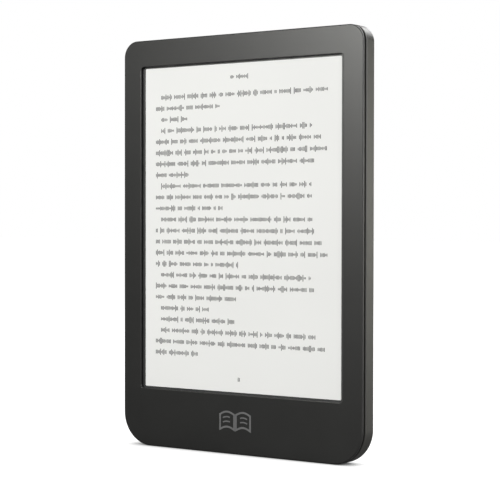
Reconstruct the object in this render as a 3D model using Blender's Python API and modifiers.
"""A 6-inch e-reader, as the separate pieces that it comes apart into.

It stands upright on its bottom edge. +Z runs up its long side, the screen faces -Y and +X is
its right side, seen from the front. The origin is under the middle of the bottom edge.
Run with: blender --background --python part.py
"""

import math
from collections import namedtuple

import bmesh
import bpy
from mathutils import Matrix, Vector

MM = 0.001
TINY = 0.001 * MM

# An outline is the shape of a plate seen from the front, with its two lower and upper corners
# rounded. A layer is a plate's place in the thickness: the y of its front and of its back.
Outline = namedtuple("Outline", "left right low high bottom_radius top_radius")


def inset(outline, amount):
    """The outline, smaller by the same amount all round."""
    return Outline(
        outline.left + amount,
        outline.right - amount,
        outline.low + amount,
        outline.high - amount,
        outline.bottom_radius - amount,
        outline.top_radius - amount,
    )


def behind(layer, thickness):
    """The layer that lies behind another one."""
    front = layer[1] + GAP
    return (front, front + thickness)


# Overall size
WIDTH = 110.0 * MM
HEIGHT = 159.6 * MM
DEPTH = 8.35 * MM
GAP = 0.3 * MM  # air between pieces that touch on the real device
CORNER_STEPS = 24
CUT_MARGIN = 1.0 * MM  # how far a cutter runs past the wall that it cuts
JOIN_OVERLAP = 0.05 * MM  # keeps the faces of two joined shapes from lying in one plane

# Housing: a rear tray with the full outline, and a bezel that sits a little inside it
WALL = 1.6 * MM
BACK_WALL = 1.2 * MM
BEZEL_INSET = 0.28 * MM
BEZEL_RIM_DEPTH = 1.9 * MM
SEAM = 0.4 * MM
LIP_WALL = 1.0 * MM
FRONT_EDGE = 0.5 * MM
BACK_EDGE = 1.6 * MM
TRAY_EDGE = 0.45 * MM

TRAY = Outline(-WIDTH / 2, WIDTH / 2, 0.0, HEIGHT, 12.8 * MM, 6.3 * MM)
BEZEL = inset(TRAY, BEZEL_INSET)
TRAY_INSIDE = inset(TRAY, WALL)
LIP = inset(TRAY_INSIDE, GAP)
LIP_INSIDE = inset(LIP, LIP_WALL)
WINDOW = Outline(-46.4 * MM, 46.4 * MM, 22.8 * MM, 149.1 * MM, 1.2 * MM, 1.2 * MM)

# The stack behind the window, front to back
FACE = (-DEPTH / 2, -DEPTH / 2 + 0.9 * MM)
TOUCH = behind(FACE, 0.3 * MM)
GUIDE = behind(TOUCH, 0.5 * MM)
PANEL = behind(GUIDE, 0.8 * MM)
FRAME = behind(PANEL, 0.5 * MM)
BOARD = behind(FRAME, 0.8 * MM)
CHIP_BASE = BOARD[1] + GAP
TRAY_FLOOR = DEPTH / 2 - BACK_WALL

TOUCH_FILM = Outline(-50.8 * MM, 50.8 * MM, 14.5 * MM, 152.6 * MM, 1.0 * MM, 1.0 * MM)
LIGHT_GUIDE = Outline(-50.2 * MM, 50.2 * MM, 16.8 * MM, 152.0 * MM, 0.6 * MM, 0.6 * MM)
DISPLAY = Outline(-50.6 * MM, 50.6 * MM, 13.8 * MM, 152.2 * MM, 0.6 * MM, 0.6 * MM)
MID_FRAME = inset(TRAY_INSIDE, 0.6 * MM)._replace(low=3.4 * MM)
MAIN_BOARD = Outline(-50.5 * MM, 50.5 * MM, 4.6 * MM, 56.0 * MM, 9.0 * MM, 1.5 * MM)

# Light strip under the light guide, with the row of side lights between them
LED_COUNT = 6
LED_PITCH = 14.0 * MM
LED_WIDTH = 3.0 * MM
LED_HEIGHT = 1.2 * MM
LED_LOW = LIGHT_GUIDE.low - GAP - LED_HEIGHT
STRIP_HALF_WIDTH = 40.0 * MM
STRIP_HEIGHT = 0.3 * MM
STRIP_LOW = LED_LOW - GAP - STRIP_HEIGHT

# Clips on the bezel's lip, which snap into pockets in the tray's walls
CLIP_LENGTH = 5.0 * MM
CLIP_DEPTH = 0.4 * MM
CLIP_REACH = 0.5 * MM
CLIP_BACK = FRAME[0] - GAP - 0.1 * MM
CLIP_ROOT = 0.2 * MM  # how far a clip starts inside the lip that it is joined to
POCKET_MARGIN = 0.2 * MM
SIDE_CLIPS = (35.0 * MM, 80.0 * MM, 125.0 * MM)
END_CLIPS = (-38.0 * MM, 38.0 * MM)

# Screws: four hold the frame to the bezel, four hold the board to the frame
SCREW_HEAD_RADIUS = 1.4 * MM
SCREW_HEAD_HEIGHT = 0.6 * MM
SCREW_RADIUS = 0.7 * MM
SCREW_HOLE_RADIUS = SCREW_RADIUS + GAP
SCREW_TIP = 0.3 * MM
SCREW_STEPS = 14
CROSS_HALF_LENGTH = 0.8 * MM
CROSS_HALF_WIDTH = 0.16 * MM
BOSS_FLOOR = 0.5 * MM
FRAME_SCREW_LENGTH = 2.8 * MM
BOARD_SCREW_LENGTH = 1.75 * MM
FRAME_SCREWS = (
    (-42.0 * MM, 9.6 * MM, 2.2 * MM),
    (42.0 * MM, 9.6 * MM, 2.2 * MM),
    (-40.0 * MM, 154.9 * MM, 1.6 * MM),
    (40.0 * MM, 154.9 * MM, 1.6 * MM),
)  # each is x, z and the radius of its boss
BOARD_SCREWS = (
    (-46.0 * MM, 52.0 * MM),
    (46.0 * MM, 52.0 * MM),
    (-8.6 * MM, 8.2 * MM),
    (8.6 * MM, 8.2 * MM),
)

# Charging port in the bottom edge
PORT_Y = 0.95 * MM
PORT_HALF_WIDTH = 3.75 * MM
PORT_HALF_HEIGHT = 1.225 * MM
PORT_WALL = 0.3 * MM
PORT_MOUTH = 0.6 * MM
PORT_END = 6.2 * MM
PORT_CORNER = 0.75 * MM
TONGUE = (PORT_Y + 0.05 * MM, PORT_Y + 0.55 * MM)
TONGUE_HALF_WIDTH = 1.85 * MM
TONGUE_RECESS = 0.8 * MM

# Power button in the bottom edge, with the switch that it presses and its status light
BUTTON_X = 33.0 * MM
BUTTON_Y = 1.125 * MM
BUTTON_TRAVEL = 0.3 * MM
BUTTON_HALF_LENGTH = 4.5 * MM
BUTTON_HALF_WIDTH = 1.0 * MM
BUTTON_RECESS = 0.2 * MM
FLANGE_EXTRA = 0.7 * MM
FLANGE_HEIGHT = 0.6 * MM
NUB_HEIGHT = 0.4 * MM
NUB_HALF_LENGTH = 1.2 * MM
NUB_HALF_WIDTH = 0.5 * MM
SWITCH_LOW = 4.1 * MM
SWITCH_HIGH = 7.6 * MM
SWITCH_HALF_WIDTH = 2.35 * MM
SWITCH_HALF_DEPTH = 0.8 * MM
PLUNGER_HALF_WIDTH = 0.8 * MM
PLUNGER_HALF_DEPTH = 0.25 * MM
PLUNGER_CLEARANCE = 0.25 * MM
PLUNGER_HIGH = 5.1 * MM
LIGHT_PIPE_X = 24.5 * MM
LIGHT_PIPE_Y = 1.6 * MM
LIGHT_PIPE_RADIUS = 0.6 * MM
LIGHT_PIPE_LOW = 0.15 * MM

# Flat cables fold from the screen's lower edge, through a slot, to the back of the board
FOLD_Z = 11.2 * MM
SLOT_HALF_HEIGHT = 0.8 * MM
CABLE_PLUG_Z = 15.0 * MM
CABLE_THICKNESS = 0.2 * MM
CABLE_BEND = 0.8 * MM
CABLE_RISE = 0.35 * MM  # from the sockets' underside to the cable in their mouths
SOCKET_MARGIN = 1.0 * MM
SOCKET_DEPTH = 0.9 * MM
SOCKET_HEIGHT = 3.6 * MM
FLAT_CABLES = {
    "display": (-18.0 * MM, 14.0 * MM, PANEL, DISPLAY.low),
    "touch": (16.0 * MM, 8.0 * MM, TOUCH, TOUCH_FILM.low),
    "light": (-38.0 * MM, 4.0 * MM, GUIDE, STRIP_LOW),
}  # each is x, width, the layer that it starts in and the edge that it starts under

# Parts on the back of the board: x, z, width, height and thickness in mm, and their material
CHIP_EDGE = 0.1 * MM
BOARD_PARTS = {
    "processor": (-8.5, 36.0, 13.0, 13.0, 0.6, "chip"),
    "memory_chip": (7.0, 36.0, 10.0, 11.5, 0.6, "chip"),
    "power_chip": (24.0, 35.0, 7.0, 7.0, 0.8, "chip"),
    "display_power_chip": (-25.0, 35.0, 6.0, 6.0, 0.8, "chip"),
    "wifi_module": (37.5, 38.0, 13.0, 12.0, 1.15, "steel"),
    "hall_sensor": (47.0, 27.0, 1.6, 2.8, 0.7, "chip"),
    "crystal": (-20.5, 23.5, 3.2, 2.5, 0.7, "steel"),
    "inductor_1": (25.0, 25.0, 4.0, 4.0, 1.1, "ferrite"),
    "inductor_2": (-27.0, 25.5, 4.0, 4.0, 1.1, "ferrite"),
    "capacitor_1": (31.0, 24.5, 3.2, 1.6, 1.0, "ceramic"),
    "capacitor_2": (-33.0, 25.5, 1.6, 3.2, 1.0, "ceramic"),
    "status_led": (24.5, 5.4, 1.2, 1.0, 0.6, "lens"),
    "battery_socket": (10.0, 49.4, 8.0, 3.0, 1.1, "connector"),
    "battery_plug": (10.0, 52.6, 7.4, 2.8, 1.1, "light_plastic"),
    "memory_card": (-39.0, 38.0, 11.0, 15.0, 0.7, "chip"),
}

# Thin metal cans that stand over parts of the board
CAN_WALL = 0.2 * MM
CAN_TOP = 2.625 * MM
SHIELD = Outline(-17.5 * MM, 14.5 * MM, 27.0 * MM, 45.0 * MM, 0.5 * MM, 0.5 * MM)
CARD_SOCKET = Outline(-45.3 * MM, -32.7 * MM, 31.0 * MM, 47.6 * MM, 0.4 * MM, 0.4 * MM)

# Battery pack, with its own small board and three leads
BATTERY = Outline(-40.0 * MM, 26.0 * MM, 64.0 * MM, 140.0 * MM, 2.0 * MM, 2.0 * MM)
BATTERY_THICKNESS = 2.3 * MM
BATTERY_BOARD = Outline(-3.0 * MM, 23.0 * MM, 60.4 * MM, 63.7 * MM, 0.4 * MM, 0.4 * MM)
BATTERY_EDGE = 0.7 * MM
BATTERY_BOARD_THICKNESS = 1.4 * MM
LEAD_RADIUS = 0.4 * MM
LEAD_STRAIGHT = 1.5 * MM
LEAD_SWAY = 0.3 * MM
LEADS = {"red": 8.0 * MM, "black": 10.0 * MM, "white": 12.0 * MM}

# Aerial on the frame, with its cable to the wireless module
ANTENNA = Outline(33.0 * MM, 49.0 * MM, 100.0 * MM, 112.0 * MM, 0.8 * MM, 0.8 * MM)
ANTENNA_THICKNESS = 0.3 * MM
ANTENNA_CABLE_RADIUS = 0.45 * MM

FINISHES = {
    "case": ((0.045, 0.045, 0.044), 0.45, 0.0),
    "bezel": ((0.04, 0.04, 0.041), 0.5, 0.0),
    "screen": ((0.8, 0.8, 0.79), 0.55, 0.0),
    "guide": ((0.85, 0.88, 0.9), 0.15, 0.0),
    "panel": ((0.7, 0.7, 0.68), 0.5, 0.0),
    "alloy": ((0.55, 0.56, 0.57), 0.4, 0.9),
    "steel": ((0.65, 0.65, 0.64), 0.3, 1.0),
    "circuit": ((0.02, 0.09, 0.04), 0.45, 0.0),
    "chip": ((0.02, 0.02, 0.022), 0.4, 0.0),
    "ferrite": ((0.09, 0.09, 0.1), 0.6, 0.0),
    "ceramic": ((0.45, 0.32, 0.2), 0.4, 0.0),
    "connector": ((0.7, 0.68, 0.6), 0.5, 0.0),
    "light_plastic": ((0.78, 0.78, 0.76), 0.5, 0.0),
    "black_plastic": ((0.02, 0.02, 0.02), 0.4, 0.0),
    "lens": ((0.85, 0.87, 0.88), 0.12, 0.0),
    "foil": ((0.6, 0.61, 0.63), 0.35, 0.6),
    "film": ((0.35, 0.16, 0.03), 0.4, 0.0),
    "red_lead": ((0.5, 0.02, 0.02), 0.5, 0.0),
    "black_lead": ((0.02, 0.02, 0.02), 0.5, 0.0),
    "white_lead": ((0.75, 0.75, 0.73), 0.5, 0.0),
}  # each is a colour, a roughness and a metallic value


def clear_scene():
    for item in list(bpy.data.objects):
        bpy.data.objects.remove(item, do_unlink=True)


def new_collection(name):
    collection = bpy.data.collections.new(name)
    bpy.context.scene.collection.children.link(collection)
    return collection


clear_scene()
PARTS = new_collection("e_reader")
CUTTERS = new_collection("e_reader_cutters")
ROOT = bpy.data.objects.new("e_reader_origin", None)
PARTS.objects.link(ROOT)


# Helpers: shapes are drawn in a bmesh in the assembly's own frame


def finish_material(part_name, finish):
    """A material of the part's own."""
    colour, roughness, metallic = FINISHES[finish]
    material = bpy.data.materials.new(part_name)
    material.use_nodes = True
    shader = material.node_tree.nodes["Principled BSDF"]
    shader.inputs["Base Color"].default_value = (*colour, 1.0)
    shader.inputs["Roughness"].default_value = roughness
    shader.inputs["Metallic"].default_value = metallic
    material.diffuse_color = (*colour, 1.0)
    return material


def add_part(name, data, finish, location):
    """Put an object of the assembly in its collection."""
    part = bpy.data.objects.new(name, data)
    part.location = location
    part.parent = ROOT
    PARTS.objects.link(part)
    if not data.materials:
        data.materials.append(finish_material(name, finish))
    return part


def middle_of(bm):
    """The middle of a bmesh's bounding box."""
    spans = [[vert.co[axis] for vert in bm.verts] for axis in range(3)]
    return Vector([(min(span) + max(span)) / 2 for span in spans])


def part_from(name, bm, finish):
    """Make an object of a bmesh, with its origin at its own middle."""
    middle = middle_of(bm)
    bmesh.ops.translate(bm, vec=-middle, verts=bm.verts)
    mesh = bpy.data.meshes.new(name)
    bm.to_mesh(mesh)
    bm.free()
    return add_part(name, mesh, finish, middle)


def apply_tool(part, bm, operation, label):
    """Cut a part with the shapes of a bmesh, or join them to it."""
    mesh = bpy.data.meshes.new(f"{part.name}_{label}")
    bm.to_mesh(mesh)
    bm.free()
    tool = bpy.data.objects.new(mesh.name, mesh)
    tool.hide_render = True
    tool.display_type = "WIRE"
    CUTTERS.objects.link(tool)
    modifier = part.modifiers.new(label, "BOOLEAN")
    modifier.operation = operation
    modifier.solver = "EXACT"
    modifier.object = tool


def add_box(bm, low, high):
    """Add a box between two corners."""
    low, high = Vector(low), Vector(high)
    verts = bmesh.ops.create_cube(bm, size=1.0)["verts"]
    bmesh.ops.scale(bm, vec=high - low, verts=verts)
    bmesh.ops.translate(bm, vec=(low + high) / 2, verts=verts)
    return verts


def add_cylinder(bm, radius, start, end, segments=16):
    """Add a cylinder between two points that differ along one axis."""
    start, end = Vector(start), Vector(end)
    turn = Vector((0.0, 0.0, 1.0)).rotation_difference(end - start).to_matrix().to_4x4()
    bmesh.ops.create_cone(
        bm,
        cap_ends=True,
        segments=segments,
        radius1=radius,
        radius2=radius,
        depth=(end - start).length,
        matrix=Matrix.Translation((start + end) / 2) @ turn,
    )


def bevel(bm, edges, radius, steps):
    bmesh.ops.bevel(
        bm, geom=edges, offset=radius, segments=steps, profile=0.5, affect="EDGES"
    )


def add_plate(bm, outline, layer, steps=CORNER_STEPS):
    """Add a plate with rounded corners."""
    add_box(
        bm, (outline.left, layer[0], outline.low), (outline.right, layer[1], outline.high)
    )
    for radius, z in (
        (outline.bottom_radius, outline.low),
        (outline.top_radius, outline.high),
    ):
        corners = [
            edge
            for edge in bm.edges
            if abs(edge.verts[0].co.y - edge.verts[1].co.y) > TINY
            and all(abs(vert.co.z - z) < TINY for vert in edge.verts)
        ]
        bevel(bm, corners, radius, steps)


def round_rim(bm, y, radius, steps):
    """Round the edge of a plate's front or back face."""
    rim = {
        edge
        for face in bm.faces
        if all(abs(vert.co.y - y) < TINY for vert in face.verts)
        for edge in face.edges
    }
    bevel(bm, list(rim), radius, steps)


def smooth_by_angle(part, degrees=35.0):
    part.data.shade_smooth()
    part.data.set_sharp_from_angle(angle=math.radians(degrees))


def plate_part(name, outline, layer, finish, steps=3):
    """A plain plate as a part of its own."""
    bm = bmesh.new()
    add_plate(bm, outline, layer, steps)
    return part_from(name, bm, finish)


def box_part(name, low, high, finish, edge=0.0):
    """A box as a part of its own, with an optional small chamfer all round."""
    bm = bmesh.new()
    add_box(bm, low, high)
    if edge:
        bevel(bm, list(bm.edges), edge, 1)
    return part_from(name, bm, finish)


# Housing


def clip_boxes(bm, root, margin):
    """Boxes along the lip's sides and top, for the clips or, with a margin, their pockets."""
    half = CLIP_LENGTH / 2 + margin
    back = CLIP_BACK + margin
    front = CLIP_BACK - CLIP_DEPTH - margin
    reach = CLIP_REACH + margin
    for z in SIDE_CLIPS:
        for side in (-1, 1):
            ends = sorted((side * (LIP.right - root), side * (LIP.right + reach)))
            add_box(bm, (ends[0], front, z - half), (ends[1], back, z + half))
    for x in END_CLIPS:
        add_box(
            bm, (x - half, front, LIP.high - root), (x + half, back, LIP.high + reach)
        )


def make_front_bezel():
    """The front frame: a thin face with the window, a rim, a lip with clips, and bosses."""
    bm = bmesh.new()
    add_plate(bm, BEZEL, (FACE[0], FACE[0] + BEZEL_RIM_DEPTH))
    round_rim(bm, FACE[0], FRONT_EDGE, 3)
    bezel = part_from("front_bezel", bm, "bezel")

    bm = bmesh.new()
    add_plate(bm, LIP, (FACE[1], FRAME[0] - GAP))
    apply_tool(bezel, bm, "UNION", "lip")

    bm = bmesh.new()
    add_plate(bm, LIP_INSIDE, (FACE[1], FRAME[1]))
    apply_tool(bezel, bm, "DIFFERENCE", "inside")

    bm = bmesh.new()
    add_plate(bm, WINDOW, (FACE[0] - CUT_MARGIN, FRAME[1]), 4)
    apply_tool(bezel, bm, "DIFFERENCE", "window")

    bm = bmesh.new()
    for x, z, radius in FRAME_SCREWS:
        add_cylinder(bm, radius, (x, FACE[1] - GAP, z), (x, FRAME[0] - GAP, z))
    clip_boxes(bm, CLIP_ROOT, 0.0)
    apply_tool(bezel, bm, "UNION", "bosses_and_clips")

    bm = bmesh.new()
    for x, z, _ in FRAME_SCREWS:
        add_cylinder(bm, SCREW_HOLE_RADIUS, (x, FACE[1] + BOSS_FLOOR, z), (x, FRAME[1], z))
    apply_tool(bezel, bm, "DIFFERENCE", "bores")
    smooth_by_angle(bezel)


def port_shape(bm, margin, low, high):
    """A bar with the charging port's section: its two front corners are cut off."""
    half_width = PORT_HALF_WIDTH + margin
    half_height = PORT_HALF_HEIGHT + margin
    front = PORT_Y - half_height
    verts = add_box(
        bm, (-half_width, front, low), (half_width, PORT_Y + half_height, high)
    )
    front_corners = {
        edge
        for vert in verts
        for edge in vert.link_edges
        if all(abs(end.co.y - front) < TINY for end in edge.verts)
        and abs(edge.verts[0].co.z - edge.verts[1].co.z) > TINY
    }
    bevel(bm, list(front_corners), PORT_CORNER, 1)


def capsule(bm, half_length, half_width, low, high, steps=6):
    """Add a bar along Z with the button's rounded section, around the button's axis."""
    verts = add_box(
        bm,
        (BUTTON_X - half_length, BUTTON_Y - half_width, low),
        (BUTTON_X + half_length, BUTTON_Y + half_width, high),
    )
    corners = {
        edge
        for vert in verts
        for edge in vert.link_edges
        if abs(edge.verts[0].co.z - edge.verts[1].co.z) > TINY
    }
    bevel(bm, list(corners), half_width * 0.98, steps)


def make_rear_cover():
    """The rear tray, open to the front, with the port, button and light holes below."""
    front = FACE[0] + BEZEL_RIM_DEPTH + SEAM
    bm = bmesh.new()
    add_plate(bm, TRAY, (front, DEPTH / 2))
    round_rim(bm, DEPTH / 2, BACK_EDGE, 4)
    round_rim(bm, front, TRAY_EDGE, 2)
    cover = part_from("rear_cover", bm, "case")

    bm = bmesh.new()
    add_plate(bm, TRAY_INSIDE, (front - CUT_MARGIN, TRAY_FLOOR))
    apply_tool(cover, bm, "DIFFERENCE", "inside")

    below, above = -CUT_MARGIN, WALL + CUT_MARGIN
    bm = bmesh.new()
    port_shape(bm, GAP, below, above)
    capsule(bm, BUTTON_HALF_LENGTH + GAP, BUTTON_HALF_WIDTH + GAP, below, above)
    add_cylinder(
        bm,
        LIGHT_PIPE_RADIUS + GAP,
        (LIGHT_PIPE_X, LIGHT_PIPE_Y, below),
        (LIGHT_PIPE_X, LIGHT_PIPE_Y, above),
    )
    clip_boxes(bm, -GAP / 2, POCKET_MARGIN)
    apply_tool(cover, bm, "DIFFERENCE", "openings")
    smooth_by_angle(cover)


# Screen


def make_screen():
    """The touch film, the light guide and the display panel, each a plate."""
    plate_part("touch_film", TOUCH_FILM, TOUCH, "screen")
    plate_part("light_guide", LIGHT_GUIDE, GUIDE, "guide")
    plate_part("display_panel", DISPLAY, PANEL, "panel")


def make_light_strip():
    """A strip under the light guide, with the row of side lights on it."""
    box_part(
        "light_strip",
        (-STRIP_HALF_WIDTH, GUIDE[0], STRIP_LOW),
        (STRIP_HALF_WIDTH, GUIDE[1], STRIP_LOW + STRIP_HEIGHT),
        "film",
    )
    for number in range(LED_COUNT):
        x = (number - (LED_COUNT - 1) / 2) * LED_PITCH
        box_part(
            f"light_led_{number + 1}",
            (x - LED_WIDTH / 2, GUIDE[0], LED_LOW),
            (x + LED_WIDTH / 2, GUIDE[1], LED_LOW + LED_HEIGHT),
            "light_plastic",
            CHIP_EDGE,
        )


# Frame and board


def slot_boxes(bm, layer):
    """Boxes for the slots that the flat cables pass through."""
    for x, width, _, _ in FLAT_CABLES.values():
        half = width / 2 + GAP
        add_box(
            bm,
            (x - half, layer[0] - CUT_MARGIN, FOLD_Z - SLOT_HALF_HEIGHT),
            (x + half, layer[1] + CUT_MARGIN, FOLD_Z + SLOT_HALF_HEIGHT),
        )


def make_mid_frame():
    """The metal plate that carries the screen in front and the board and battery behind."""
    bm = bmesh.new()
    add_plate(bm, MID_FRAME, FRAME, 6)
    frame = part_from("mid_frame", bm, "alloy")

    front, back = FRAME[0] - CUT_MARGIN, FRAME[1] + CUT_MARGIN
    bm = bmesh.new()
    slot_boxes(bm, FRAME)
    notch = PORT_HALF_WIDTH + GAP
    add_box(bm, (-notch, front, 0.0), (notch, back, PORT_END + GAP))
    for x, z in [screw[:2] for screw in FRAME_SCREWS + BOARD_SCREWS]:
        add_cylinder(bm, SCREW_HOLE_RADIUS, (x, front, z), (x, back, z), 12)
    apply_tool(frame, bm, "DIFFERENCE", "holes")


def make_main_board():
    """The circuit board, notched for the port and the switch, with screw and cable holes."""
    bm = bmesh.new()
    add_plate(bm, MAIN_BOARD, BOARD, 6)
    board = part_from("main_board", bm, "circuit")

    front, back = BOARD[0] - CUT_MARGIN, BOARD[1] + CUT_MARGIN
    bm = bmesh.new()
    slot_boxes(bm, BOARD)
    notch = PORT_HALF_WIDTH + GAP
    add_box(bm, (-notch, front, 0.0), (notch, back, PORT_END + GAP))
    notch = SWITCH_HALF_WIDTH + GAP
    add_box(
        bm, (BUTTON_X - notch, front, 0.0), (BUTTON_X + notch, back, SWITCH_HIGH + GAP)
    )
    for x, z in BOARD_SCREWS:
        add_cylinder(bm, SCREW_HOLE_RADIUS, (x, front, z), (x, back, z), 12)
    for x, z, _ in FRAME_SCREWS[:2]:
        add_cylinder(bm, SCREW_HEAD_RADIUS + GAP, (x, front, z), (x, back, z), 12)
    apply_tool(board, bm, "DIFFERENCE", "holes")


def make_board_parts():
    """The chips, connectors and small parts that stand on the back of the board."""
    for name, (x, z, width, height, thickness, finish) in BOARD_PARTS.items():
        box_part(
            name,
            ((x - width / 2) * MM, CHIP_BASE, (z - height / 2) * MM),
            ((x + width / 2) * MM, CHIP_BASE + thickness * MM, (z + height / 2) * MM),
            finish,
            CHIP_EDGE,
        )


def can(name, outline, open_below):
    """A thin metal can over board parts, open towards the board and maybe at its low end."""
    bm = bmesh.new()
    add_plate(bm, outline, (CHIP_BASE, CAN_TOP), 2)
    part = part_from(name, bm, "steel")
    hollow = inset(outline, CAN_WALL)
    if open_below:
        hollow = hollow._replace(low=outline.low - CUT_MARGIN)
    bm = bmesh.new()
    add_plate(bm, hollow, (CHIP_BASE - CUT_MARGIN, CAN_TOP - CAN_WALL), 2)
    apply_tool(part, bm, "DIFFERENCE", "inside")


def rounded_route(points, radius, steps=5):
    """A route through points with each corner rounded off as a parabola."""
    route = [Vector(points[0])]
    for before, corner, after in zip(points, points[1:], points[2:]):
        corner = Vector(corner)
        start = corner + (Vector(before) - corner).normalized() * radius
        end = corner + (Vector(after) - corner).normalized() * radius
        for step in range(steps + 1):
            t = step / steps
            route.append(
                start * (1 - t) ** 2 + corner * 2 * t * (1 - t) + end * t**2
            )
    route.append(Vector(points[-1]))
    return route


def smooth_route(points, steps):
    """A smooth route through all the points, by Catmull-Rom."""
    points = [Vector(point) for point in points]
    ends = [points[0] * 2 - points[1]] + points + [points[-1] * 2 - points[-2]]
    route = []
    for a, b, c, d in zip(ends, ends[1:], ends[2:], ends[3:]):
        for step in range(steps):
            t = step / steps
            route.append(
                (
                    b * 2
                    + (c - a) * t
                    + (a * 2 - b * 5 + c * 4 - d) * t**2
                    + (b * 3 - a - c * 3 + d) * t**3
                )
                / 2
            )
    return route + [points[-1]]


def new_spline(curve, route):
    spline = curve.splines.new("POLY")
    spline.points.add(len(route) - 1)
    for point, place in zip(spline.points, route):
        point.co = (*place, 1.0)


def make_flat_cable(name, x, width, layer, edge_z):
    """A flat cable from under a screen layer, folded through its slot, up to its socket."""
    start_y = (layer[0] + layer[1]) / 2
    end_y = CHIP_BASE + CABLE_RISE
    points = (
        (start_y, edge_z - GAP, 0.0),
        (start_y, FOLD_Z, 0.0),
        (end_y, FOLD_Z, 0.0),
        (end_y, CABLE_PLUG_Z, 0.0),
    )
    curve = bpy.data.curves.new(name, "CURVE")
    curve.dimensions = "2D"
    curve.fill_mode = "NONE"
    curve.extrude = width / 2
    new_spline(curve, rounded_route(points, CABLE_BEND))
    cable = add_part(name, curve, "film", (x, 0.0, 0.0))
    # The curve is drawn in the plane across the device, and its width runs along X
    cable.rotation_euler = Matrix(((0, 0, 1), (1, 0, 0), (0, 1, 0))).to_euler()
    solidify = cable.modifiers.new("thickness", "SOLIDIFY")
    solidify.thickness = CABLE_THICKNESS
    solidify.offset = 0.0


def make_flat_cables():
    """Each screen layer's flat cable and the socket on the board that it plugs into."""
    for label, (x, width, layer, edge_z) in FLAT_CABLES.items():
        make_flat_cable(f"{label}_cable", x, width, layer, edge_z)
        half = width / 2 + SOCKET_MARGIN
        low = CABLE_PLUG_Z + GAP
        box_part(
            f"{label}_socket",
            (x - half, CHIP_BASE, low),
            (x + half, CHIP_BASE + SOCKET_DEPTH, low + SOCKET_HEIGHT),
            "connector",
            CHIP_EDGE,
        )


# Battery and aerial


def wire_part(name, route, radius, finish):
    """A round wire with closed ends."""
    curve = bpy.data.curves.new(name, "CURVE")
    curve.dimensions = "3D"
    curve.bevel_depth = radius
    curve.bevel_resolution = 2
    curve.use_fill_caps = True
    new_spline(curve, route)
    add_part(name, curve, finish, (0.0, 0.0, 0.0))


def make_battery():
    """The battery cell, its small board and its leads down to the plug."""
    cell_layer = behind(FRAME, BATTERY_THICKNESS)
    bm = bmesh.new()
    add_plate(bm, BATTERY, cell_layer, 3)
    round_rim(bm, cell_layer[1], BATTERY_EDGE, 2)
    cell = part_from("battery_cell", bm, "foil")
    smooth_by_angle(cell)
    board_layer = behind(FRAME, BATTERY_BOARD_THICKNESS)
    plate_part("battery_board", BATTERY_BOARD, board_layer, "circuit", 1)

    _, plug_z, _, plug_height, plug_thickness, _ = BOARD_PARTS["battery_plug"]
    plug_top = (plug_z + plug_height / 2) * MM + GAP
    plug_y = CHIP_BASE + plug_thickness / 2 * MM
    board_low = BATTERY_BOARD.low - GAP
    board_y = (board_layer[0] + board_layer[1]) / 2
    for colour, x in LEADS.items():
        route = smooth_route(
            (
                (x, plug_y, plug_top),
                (x, plug_y, plug_top + LEAD_STRAIGHT),
                (x + LEAD_SWAY, board_y, board_low - LEAD_STRAIGHT),
                (x, board_y, board_low),
            ),
            3,
        )
        wire_part(f"battery_lead_{colour}", route, LEAD_RADIUS, f"{colour}_lead")


def make_antenna():
    """The flat aerial on the frame and its thin round cable."""
    plate_part("antenna", ANTENNA, behind(FRAME, ANTENNA_THICKNESS), "film", 2)
    cable_y = FRAME[1] + GAP + ANTENNA_CABLE_RADIUS
    route = smooth_route(
        (
            (41.0 * MM, 2.0 * MM, 44.0 * MM + GAP),
            (41.0 * MM, 2.0 * MM, 51.0 * MM),
            (41.2 * MM, 1.8 * MM, 58.0 * MM),
            (43.0 * MM, cable_y, 64.0 * MM),
            (44.5 * MM, cable_y, 76.0 * MM),
            (43.5 * MM, cable_y, 90.0 * MM),
            (42.0 * MM, cable_y, ANTENNA.low - GAP),
        ),
        4,
    )
    wire_part("antenna_cable", route, ANTENNA_CABLE_RADIUS, "black_lead")


# Charging port, power button, switch and status light


def make_charging_port():
    """The port's metal shell, closed at its inner end, and the contact tongue inside it."""
    bm = bmesh.new()
    port_shape(bm, 0.0, PORT_MOUTH, PORT_END)
    shell = part_from("port_shell", bm, "steel")
    bm = bmesh.new()
    port_shape(bm, -PORT_WALL, PORT_MOUTH - CUT_MARGIN, PORT_END - PORT_WALL)
    apply_tool(shell, bm, "DIFFERENCE", "mouth")
    box_part(
        "port_tongue",
        (-TONGUE_HALF_WIDTH, TONGUE[0], PORT_MOUTH + TONGUE_RECESS),
        (TONGUE_HALF_WIDTH, TONGUE[1], PORT_END - PORT_WALL - GAP),
        "black_plastic",
        CHIP_EDGE,
    )


def make_power_button():
    """The button's cap, with a flange behind the wall and a nub that meets the plunger."""
    flange_low = WALL + GAP
    flange_high = flange_low + FLANGE_HEIGHT
    bm = bmesh.new()
    capsule(bm, BUTTON_HALF_LENGTH, BUTTON_HALF_WIDTH, BUTTON_RECESS, flange_high)
    button = part_from("power_button", bm, "case")

    bm = bmesh.new()
    capsule(
        bm,
        BUTTON_HALF_LENGTH + FLANGE_EXTRA,
        BUTTON_HALF_WIDTH + FLANGE_EXTRA / 2,
        flange_low,
        flange_high - JOIN_OVERLAP,
    )
    apply_tool(button, bm, "UNION", "flange")

    bm = bmesh.new()
    add_box(
        bm,
        (BUTTON_X - NUB_HALF_LENGTH, BUTTON_Y - NUB_HALF_WIDTH, flange_low + GAP),
        (BUTTON_X + NUB_HALF_LENGTH, BUTTON_Y + NUB_HALF_WIDTH, flange_high + NUB_HEIGHT),
    )
    apply_tool(button, bm, "UNION", "nub")
    smooth_by_angle(button)


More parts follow.
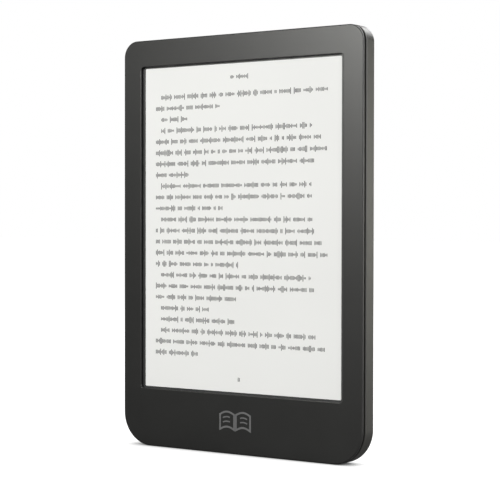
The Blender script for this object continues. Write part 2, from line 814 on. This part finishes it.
def make_switch():
    """The small switch in a notch of the board, and the plunger that slides into it."""
    body = box_part(
        "switch_body",
        (BUTTON_X - SWITCH_HALF_WIDTH, BUTTON_Y - SWITCH_HALF_DEPTH, SWITCH_LOW),
        (BUTTON_X + SWITCH_HALF_WIDTH, BUTTON_Y + SWITCH_HALF_DEPTH, SWITCH_HIGH),
        "steel",
        CHIP_EDGE,
    )
    half_width = PLUNGER_HALF_WIDTH + GAP
    half_depth = PLUNGER_HALF_DEPTH + PLUNGER_CLEARANCE
    bm = bmesh.new()
    add_box(
        bm,
        (BUTTON_X - half_width, BUTTON_Y - half_depth, SWITCH_LOW - CUT_MARGIN),
        (
            BUTTON_X + half_width,
            BUTTON_Y + half_depth,
            PLUNGER_HIGH + BUTTON_TRAVEL + GAP,
        ),
    )
    apply_tool(body, bm, "DIFFERENCE", "bore")

    plunger_low = WALL + GAP + FLANGE_HEIGHT + NUB_HEIGHT + GAP
    box_part(
        "switch_plunger",
        (BUTTON_X - PLUNGER_HALF_WIDTH, BUTTON_Y - PLUNGER_HALF_DEPTH, plunger_low),
        (BUTTON_X + PLUNGER_HALF_WIDTH, BUTTON_Y + PLUNGER_HALF_DEPTH, PLUNGER_HIGH),
        "black_plastic",
    )


def make_light_pipe():
    """The clear rod that brings the status light to the bottom edge."""
    bm = bmesh.new()
    add_cylinder(
        bm,
        LIGHT_PIPE_RADIUS,
        (LIGHT_PIPE_X, LIGHT_PIPE_Y, LIGHT_PIPE_LOW),
        (LIGHT_PIPE_X, LIGHT_PIPE_Y, MAIN_BOARD.low - GAP),
        12,
    )
    pipe = part_from("light_pipe", bm, "lens")
    smooth_by_angle(pipe)


# Screws


def screw_mesh(name, length):
    """A turned screw with a cross in its head, its axis along Z and its seat at z = 0."""
    profile = (
        (0.0, SCREW_HEAD_HEIGHT),
        (SCREW_HEAD_RADIUS * 0.8, SCREW_HEAD_HEIGHT),
        (SCREW_HEAD_RADIUS, SCREW_HEAD_HEIGHT * 0.7),
        (SCREW_HEAD_RADIUS, 0.0),
        (SCREW_RADIUS, 0.0),
        (SCREW_RADIUS, -length + SCREW_TIP),
        (SCREW_RADIUS * 0.6, -length),
        (0.0, -length),
    )
    bm = bmesh.new()
    verts = [bm.verts.new((x, 0.0, z)) for x, z in profile]
    for pair in zip(verts, verts[1:]):
        bm.edges.new(pair)
    mesh = bpy.data.meshes.new(f"{name}_profile")
    bm.to_mesh(mesh)
    bm.free()
    blank = bpy.data.objects.new(f"{name}_blank", mesh)
    CUTTERS.objects.link(blank)
    turn = blank.modifiers.new("turn", "SCREW")
    turn.steps = SCREW_STEPS
    turn.render_steps = SCREW_STEPS
    turn.use_merge_vertices = True
    turn.merge_threshold = 0.00001

    slots = []
    floor, above = SCREW_HEAD_HEIGHT / 2, SCREW_HEAD_HEIGHT + CUT_MARGIN
    for half_x, half_y in (
        (CROSS_HALF_LENGTH, CROSS_HALF_WIDTH),
        (CROSS_HALF_WIDTH, CROSS_HALF_LENGTH),
    ):
        bm = bmesh.new()
        add_box(bm, (-half_x, -half_y, floor), (half_x, half_y, above))
        apply_tool(blank, bm, "DIFFERENCE", f"slot_{len(slots)}")
        slots.append(blank.modifiers[-1].object)
    graph = bpy.context.evaluated_depsgraph_get()
    made = bpy.data.meshes.new_from_object(blank.evaluated_get(graph))
    made.name = name
    for item in [blank] + slots:
        bpy.data.objects.remove(item, do_unlink=True)
    return made


def make_screws():
    """Eight screws, each a part of its own, with their heads to the back."""
    sets = (
        ("frame_screw", FRAME_SCREW_LENGTH, FRAME[1], [s[:2] for s in FRAME_SCREWS]),
        ("board_screw", BOARD_SCREW_LENGTH, BOARD[1], BOARD_SCREWS),
    )
    for name, length, seat, places in sets:
        mesh = screw_mesh(name, length)
        for number, (x, z) in enumerate(places, 1):
            screw = add_part(f"{name}_{number}", mesh, "steel", (x, seat + GAP, z))
            screw.rotation_euler = (math.radians(-90.0), 0.0, 0.0)
        mesh.shade_smooth()
        mesh.set_sharp_from_angle(angle=math.radians(35.0))


def main():
    make_front_bezel()
    make_rear_cover()
    make_screen()
    make_light_strip()
    make_mid_frame()
    make_main_board()
    make_board_parts()
    can("chip_shield", SHIELD, open_below=False)
    can("card_socket", CARD_SOCKET, open_below=True)
    make_flat_cables()
    make_battery()
    make_antenna()
    make_charging_port()
    make_power_button()
    make_switch()
    make_light_pipe()
    make_screws()


main()
